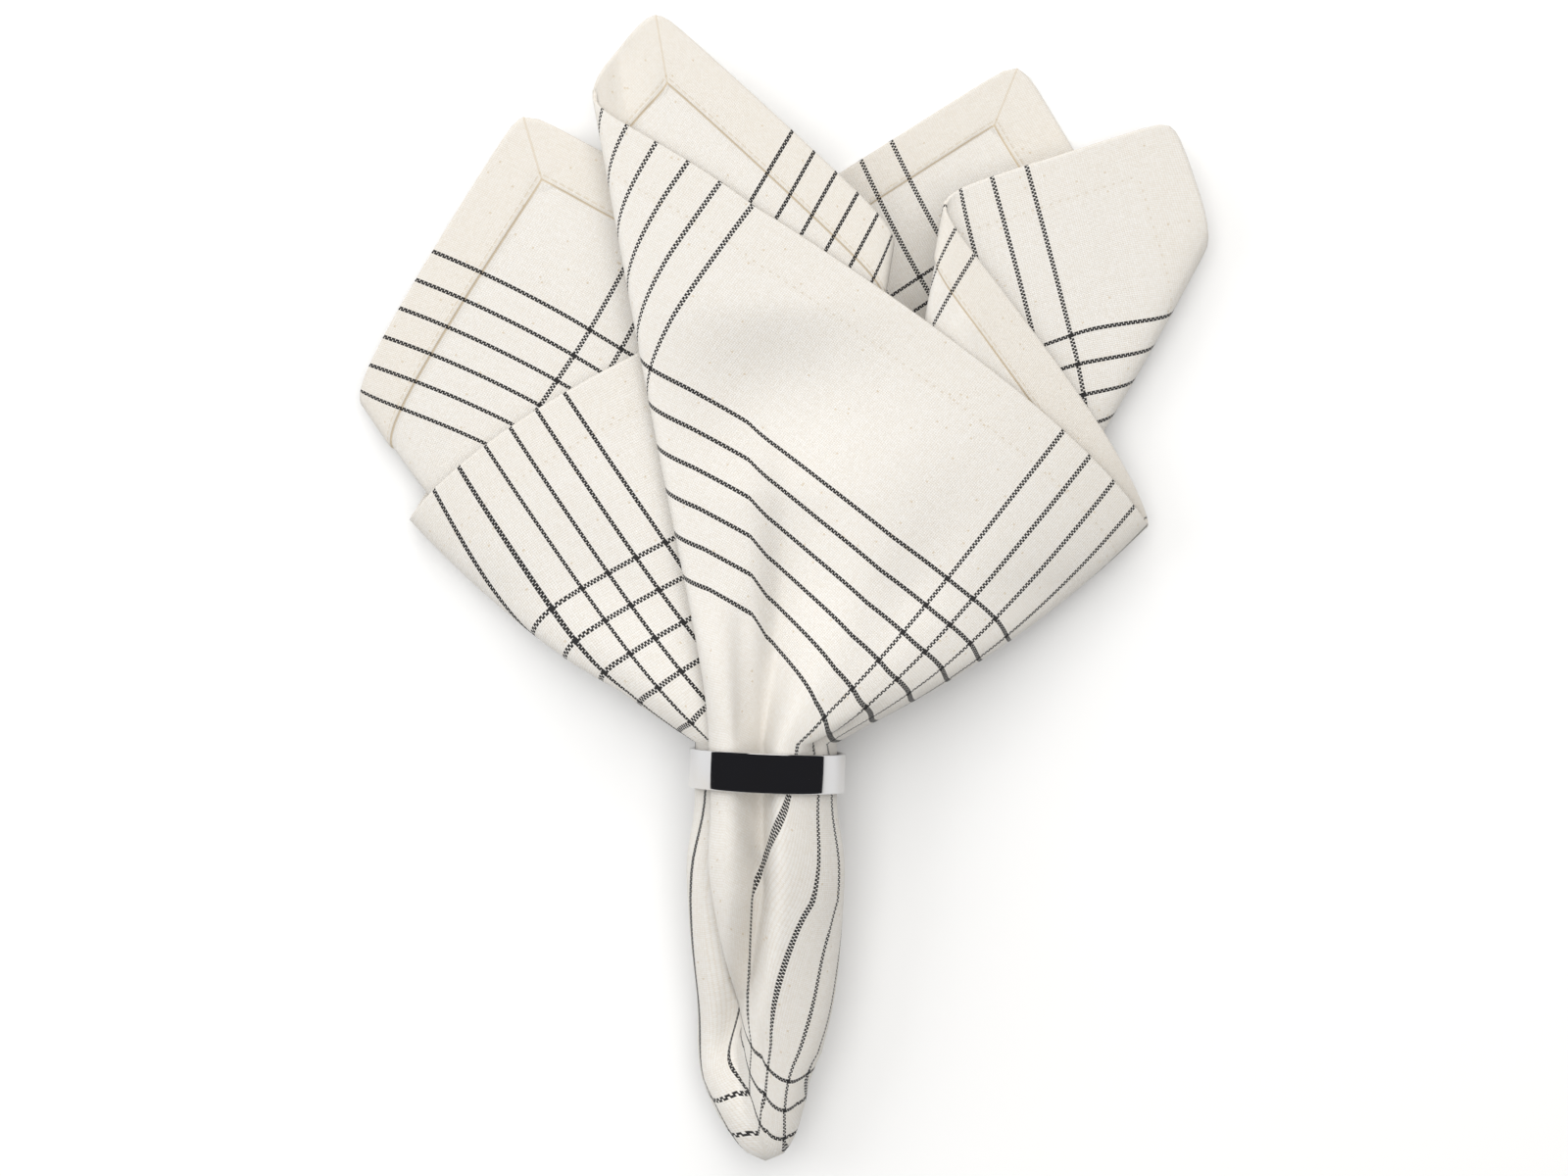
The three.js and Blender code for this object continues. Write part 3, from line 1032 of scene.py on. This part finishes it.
    def radius_at(self, turn: Array, station: Array) -> Array:
        """Distances along the cloth from its centre that lie at a station.

        Args:
            turn: directions at the hem.
            station: distances from the tail's tip.

        Returns:
            One distance for each place.
        """
        turn, station = np.broadcast_arrays(turn, station)
        radius = station
        for _ in range(self.rounds):
            fan, _level, reach, _neck = self.folded(turn, radius)
            radius = station / (reach * np.cos(np.radians(fan)))
        return radius


def add_object(name: str, data: bpy.types.ID) -> bpy.types.Object:
    """Adds an object to the scene.

    Args:
        name: the object's name.
        data: its mesh, light or camera.

    Returns:
        The object.
    """
    made = bpy.data.objects.new(name, data)
    bpy.context.scene.collection.objects.link(made)
    return made


def grid_faces(numbers: Array) -> list[list[int]]:
    """Quads between neighbours in a grid.

    Args:
        numbers: the grid's vertex numbers.

    Returns:
        The vertex numbers of each quad, row by row.
    """
    near, far = numbers[:-1], numbers[1:]
    quads = np.stack([near[:, :-1], near[:, 1:], far[:, 1:], far[:, :-1]], axis=-1)
    return quads.reshape(-1, 4).tolist()


def new_piece(name: str, points: Array, faces: Sequence[Sequence[int]]) -> bpy.types.Object:
    """Makes a smooth mesh object.

    Args:
        name: the piece's name.
        points: its vertices in millimetres.
        faces: vertex numbers of its faces.

    Returns:
        The object, in the scene.
    """
    mesh = bpy.data.meshes.new(name)
    mesh.from_pydata((points * METRES).tolist(), [], faces)
    mesh.polygons.foreach_set("use_smooth", np.ones(len(mesh.polygons), bool))
    mesh.update()
    return add_object(name, mesh)


@dataclass
class Napkin:
    """The cloth: a closed sheet from the centre over the right side to the hem and back on the wrong side.

    Reaches and pitches are degrees on the flat cloth. hem_rows are distances from the hem's outer edge.
    """

    cloth: FoldedCloth
    finish: WovenCloth
    thickness: float = 0.7
    hem_step: float = 0.55
    hem_turn: float = 0.35
    fold_reach: float = 6.0
    fold_pitch: float = 0.42
    panel_pitch: float = 1.9
    corner_reach: float = 5.0
    corner_columns: int = 15
    corner_turns: tuple[float, ...] = (225.0, 315.0, 405.0, 495.0)
    least_pitch: float = 0.05
    open_station: float = 150.0
    tail_rows: int = 44
    tail_bunching: float = 0.35
    fan_rows: int = 40
    hem_rows: tuple[float, ...] = (14.1, 13.4, 11.0, 8.0, 5.0, 2.5, 1.0)
    step_start: float = 0.1
    step_end: float = 0.05
    crease_fade: float = 4.0
    bake_share: float = 0.96

    def build(self) -> bpy.types.Object:
        """Makes the sheet.

        Returns:
            The piece, with its UV maps and its attribute.
        """
        turns = self._turns()
        stations = self._stations(turns)
        middle = self.cloth.points(turns, self.cloth.radius_at(turns, stations))
        normal = self._normals(middle)
        flat = self.cloth.flat(turns, stations)
        middle = middle + normal * self._crease_height(flat)[..., None]
        half = self.thickness / 2
        hem = self._hem_height(flat)
        right = middle + normal * half
        wrong = middle - normal * (half + hem)[..., None]
        rim = middle[-1] - normal[-1] * hem[-1][:, None] / 2
        rows = [right[1:-1], rim[None], wrong[-2:0:-1]]
        points = np.concatenate([right[0, :1], *(row.reshape(-1, 3) for row in rows), wrong[0, :1]])
        flat_rows = [flat[1:-1], flat[-1:], flat[-2:0:-1]]
        flat_points = np.concatenate([flat[0, :1], *(row.reshape(-1, 2) for row in flat_rows), flat[0, :1]])
        row_count = 2 * (len(stations) - 2) + 1
        piece = new_piece("napkin_cloth", points, self._faces(row_count, len(turns)))
        self._map(piece.data, flat_points, row_count, len(turns))
        return piece

    def dress(self, piece: bpy.types.Object) -> None:
        """Gives the sheet its finish and ties it to the frame.

        Args:
            piece: the sheet.
        """
        piece.data.materials.append(self.finish.material())
        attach(piece, "root")
        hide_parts("napkin")

    def _turns(self) -> Array:
        """Directions of the columns, close together at the folds and at the corners.

        Returns:
            Degrees on the flat cloth, from the first fold on.
        """
        turns: list[float] = []
        for fold, _after, end in panels():
            reach = min(self.fold_reach, (end - fold.turn) / 2)
            steps = round(reach / self.fold_pitch)
            near = np.linspace(0.0, reach, steps, endpoint=False)
            turns += list(fold.turn + near)
            turns += list(end - near[1:])
            span = end - fold.turn - 2 * reach
            count = max(round(span / self.panel_pitch), 1)
            turns += list(fold.turn + reach + span * np.arange(count + 1) / count)
        beside = np.linspace(-self.corner_reach, self.corner_reach, self.corner_columns)
        for corner in self.corner_turns:
            turns += list(corner + beside)
        first = FOLDS[0].turn
        turns = sorted(set(np.round((np.array(turns) - first) % FULL_TURN, decimals=4)))
        kept = [turns[0]]
        for turn in turns[1:]:
            if turn - kept[-1] > self.least_pitch:
                kept.append(turn)
        return first + np.array(kept)

    def _stations(self, turns: Array) -> Array:
        """Stations of the grid's rows: across the tail and the ring, through the fan and along the hem.

        Args:
            turns: directions of the columns.

        Returns:
            A row of stations for each row of the grid.
        """
        share = np.linspace(0.0, 1.0, self.tail_rows)
        bunching = self.tail_bunching
        tail = self.open_station * (bunching * share**2 + (1.0 - bunching) * share)
        rows = [np.full_like(turns, station) for station in tail]
        hem = self.finish.hem
        inside = self.cloth.edge_station(turns, hem + self.hem_turn)
        for share in np.linspace(0.0, 1.0, self.fan_rows + 1)[1:]:
            rows.append(blend(rows[self.tail_rows - 1], inside, share))
        steps = (hem, hem - self.hem_turn, *self.hem_rows, self.hem_turn, 0.0)
        rows += [self.cloth.edge_station(turns, step) for step in steps]
        return np.array(rows)

    @staticmethod
    def _normals(points: Array) -> Array:
        """Normals of the right side, from each point's neighbours in the grid.

        Args:
            points: the grid's points.

        Returns:
            A unit vector for each point.
        """
        around = np.roll(points, -1, axis=1) - np.roll(points, 1, axis=1)
        outwards = np.gradient(points, axis=0)
        normal = np.cross(around, outwards)
        length = np.linalg.norm(normal, axis=-1, keepdims=True)
        normal = normal / np.maximum(length, TINY)
        normal[0] = (0.0, -1.0, 0.0)
        return normal

    def _crease_height(self, flat: Array) -> Array:
        """Height of the listed creases over the sheet.

        Args:
            flat: places on the flat cloth, from its middle.

        Returns:
            Height at each place.
        """
        height = np.zeros(flat.shape[:-1])
        for crease in CREASES:
            start = np.array((crease.x_start, crease.y_start))
            step = np.array((crease.x_end, crease.y_end)) - start
            share = np.clip((flat - start) @ step / (step @ step), 0.0, 1.0)
            apart = np.linalg.norm(flat - start - share[..., None] * step, axis=-1) / crease.width
            height += crease.height * np.exp(-self.crease_fade * apart * apart)
        return height

    def _hem_height(self, flat: Array) -> Array:
        """How much thicker the turned hem makes the wrong side.

        Args:
            flat: places on the flat cloth, from its middle.

        Returns:
            Added thickness at each place.
        """
        edge = self.cloth.side / 2 - np.abs(flat).max(axis=-1)
        hem = self.finish.hem
        return self.hem_step * smooth(-edge, -hem - self.step_start, -hem + self.hem_turn - self.step_end)

    @staticmethod
    def _faces(rows: int, columns: int) -> list[list[int]]:
        """Faces of the closed grid.

        Args:
            rows: full rows, between the two ends at the cloth's centre.
            columns: points in a row.

        Returns:
            Triangles at both ends and quads between them.
        """
        last = 1 + rows * columns
        numbers = np.arange(1, last).reshape(rows, columns)
        numbers = np.pad(numbers, ((0, 0), (0, 1)), "wrap")
        first_row, last_row = numbers[0].tolist(), numbers[-1].tolist()
        first_end = [[0, there, here] for here, there in zip(first_row, first_row[1:])]
        last_end = [[here, there, last] for here, there in zip(last_row, last_row[1:])]
        return first_end + grid_faces(numbers) + last_end

    def _map(self, mesh: bpy.types.Mesh, flat: Array, rows: int, columns: int) -> None:
        """Adds the UV maps and the side attribute.

        Args:
            mesh: the sheet.
            flat: its vertices' places on the flat cloth, from its middle.
            rows: full rows of the grid.
            columns: points in a row.
        """
        corners = np.zeros(len(mesh.loops), np.int64)
        mesh.loops.foreach_get("vertex_index", corners)
        totals = np.zeros(len(mesh.polygons), np.int64)
        mesh.polygons.foreach_get("loop_total", totals)
        unit = flat / self.cloth.side + 0.5

        right_faces = columns + (rows // 2) * columns
        on_wrong = np.repeat(np.arange(len(totals)) >= right_faces, totals)
        inset = 0.5 + (unit[corners] - 0.5) * self.bake_share
        across = np.where(on_wrong, 0.5 + inset[:, 0] / 2, 0.5 - inset[:, 0] / 2)
        bake = np.stack([across, inset[:, 1]], axis=1)
        for layer, values in ((Layer.BAKE, bake), (Layer.FLAT, unit[corners])):
            uv_map = mesh.uv_layers.new(name=layer.value)
            uv_map.data.foreach_set("uv", values.astype(np.float32).ravel())

        wrong = np.zeros(len(mesh.vertices), np.float32)
        rim = 1 + (rows // 2) * columns
        wrong[rim:] = 1.0
        attribute = mesh.attributes.new(Layer.WRONG_SIDE.value, "FLOAT", "POINT")
        attribute.data.foreach_set("value", wrong)


@dataclass
class NapkinRing:
    """The polished band, standing on the table on a small flat."""

    finish: PolishedSteel
    outer_radius: float = RING_RADIUS
    wall: float = 1.2
    width: float = 11.0
    edge_round: float = 0.45
    segments: int = 180
    edge_steps: int = 5
    yaw: float = -2.3
    height: float = RING_HEIGHT

    def build(self) -> bpy.types.Object:
        """Makes the band by turning its rounded section.

        Returns:
            The piece.
        """
        section = self._section()
        angles = np.linspace(0.0, 2.0 * math.pi, self.segments, endpoint=False)
        radius, along = section[:, 0], section[:, 1]
        x = np.outer(np.sin(angles), radius)
        y = np.broadcast_to(along, x.shape)
        z = np.maximum(self.height - np.outer(np.cos(angles), radius), 0.0)
        turn = math.radians(self.yaw)
        points = np.stack(
            [x * math.cos(turn) - y * math.sin(turn), x * math.sin(turn) + y * math.cos(turn), z], axis=-1
        )
        numbers = np.arange(x.size).reshape(x.shape)
        faces = grid_faces(np.pad(numbers, ((0, 1), (0, 1)), "wrap"))
        return new_piece("ring_band", points.reshape(-1, 3), faces)

    def dress(self, piece: bpy.types.Object) -> None:
        """Gives the band its finish and ties it to the frame.

        Args:
            piece: the band.
        """
        piece.data.materials.append(self.finish.material())
        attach(piece, "root")
        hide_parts("ring")

    def _section(self) -> Array:
        """Outline of the band's section, round its four soft edges.

        Returns:
            Radius and place along the axis of each point.
        """
        inner = self.outer_radius - self.wall
        half = self.width / 2
        soft = self.edge_round
        corners = (
            (self.outer_radius - soft, half - soft, 0.0),
            (inner + soft, half - soft, 90.0),
            (inner + soft, soft - half, 180.0),
            (self.outer_radius - soft, soft - half, 270.0),
        )
        outline = []
        for radius, along, start in corners:
            for angle in np.radians(np.linspace(start, start + 90.0, self.edge_steps)):
                outline.append((radius + soft * math.cos(angle), along + soft * math.sin(angle)))
        return np.array(outline)


@dataclass(frozen=True)
class Lamp:
    """A soft rectangular lamp: place from the napkin and size in metres, power in watts and colour.

    mirrored says whether the ring mirrors it.
    """

    name: str
    place: tuple[float, float, float]
    size: tuple[float, float]
    power: float
    colour: Colour
    mirrored: bool = False


@dataclass
class Studio:
    """White table, soft light and a camera that looks straight down."""

    floor: PaleFloor
    floor_side: float = 6000.0
    floor_steps: int = 9
    aim: tuple[float, float] = (4.73, 50.93)
    focus_height: float = 10.0
    distance: float = 1000.0
    view_width: float = 444.8
    sensor: float = 36.0
    backdrop: Colour = (0.95, 0.95, 0.95)
    ambient: float = 0.33
    reflected: Colour = (0.021, 0.021, 0.024)
    lamps: tuple[Lamp, ...] = (
        Lamp("overhead", (0.0, 0.25, 1.9), (2.0, 2.0), 30.0, (1.0, 0.99, 0.97)),
        Lamp("left", (-1.4, 0.5, 0.9), (1.0, 1.2), 10.0, (0.97, 0.985, 1.0)),
        Lamp("top", (0.1, 1.6, 1.0), (1.6, 1.0), 12.0, (1.0, 0.985, 0.96), True),
    )

    def build(self) -> None:
        """Makes the floor, the lamps, the surroundings and the camera."""
        self._floor()
        for lamp in self.lamps:
            self._lamp(lamp)
        self._world()
        self._camera()

    def _floor(self) -> None:
        """Lays the floor at the table's height."""
        half = self.floor_side / 2
        steps = np.linspace(-half, half, self.floor_steps)
        x, y = np.meshgrid(steps, steps)
        points = np.stack([x.ravel(), y.ravel(), np.zeros(x.size)], axis=1)
        floor = new_piece("floor", points, grid_faces(np.arange(x.size).reshape(x.shape)))
        floor.data.materials.append(self.floor.material())

    def _lamp(self, lamp: Lamp) -> None:
        """Hangs one lamp, turned to the napkin.

        Args:
            lamp: its place, size, power and colour.
        """
        light = bpy.data.lights.new(lamp.name, "AREA")
        light.shape = "RECTANGLE"
        light.size, light.size_y = lamp.size
        light.energy = lamp.power
        light.color = lamp.colour
        holder = add_object(lamp.name, light)
        centre = np.array((*self.aim, 0.0)) * METRES
        holder.location = centre + np.array(lamp.place)
        away = holder.location - Vector(centre)
        holder.rotation_euler = away.to_track_quat("Z", "Y").to_euler()
        holder.visible_glossy = lamp.mirrored

    def _world(self) -> None:
        """Pale surroundings that light the scene, dark where polished metal mirrors them."""
        world = bpy.data.worlds.new("studio")
        bpy.context.scene.world = world
        graph = Graph(world)
        pale_links = {"Color": (*self.backdrop, 1.0), "Strength": self.ambient}
        pale = graph.node("ShaderNodeBackground", {}, pale_links)
        dark = graph.node("ShaderNodeBackground", {}, {"Color": (*self.reflected, 1.0)})
        mirrored = graph.node("ShaderNodeLightPath", {}, {}, "Is Glossy Ray")
        mixed = graph.node("ShaderNodeMixShader", {}, {0: mirrored, 1: pale, 2: dark})
        graph.node("ShaderNodeOutputWorld", {}, {"Surface": mixed})

    def _camera(self) -> None:
        """Sets the camera above the napkin, with the picture's top towards +Y and its colours left plain."""
        data = bpy.data.cameras.new("camera")
        data.sensor_fit = "HORIZONTAL"
        data.sensor_width = self.sensor
        data.lens = self.sensor * self.distance / self.view_width
        camera = add_object("camera", data)
        height = self.focus_height + self.distance
        camera.location = np.array((*self.aim, height)) * METRES
        bpy.context.scene.camera = camera
        bpy.context.scene.view_settings.view_transform = "Standard"


def main() -> None:
    """Builds the cloth, the ring and the studio round the frame."""
    logging.basicConfig(level=logging.INFO)
    Studio(PaleFloor()).build()
    for assembly in (NapkinRing(PolishedSteel()), Napkin(FoldedCloth(), WovenCloth())):
        piece = assembly.build()
        assembly.dress(piece)
        LOG.info("%s: %d faces", piece.name, len(piece.data.polygons))


if __name__ == "__main__":
    main()
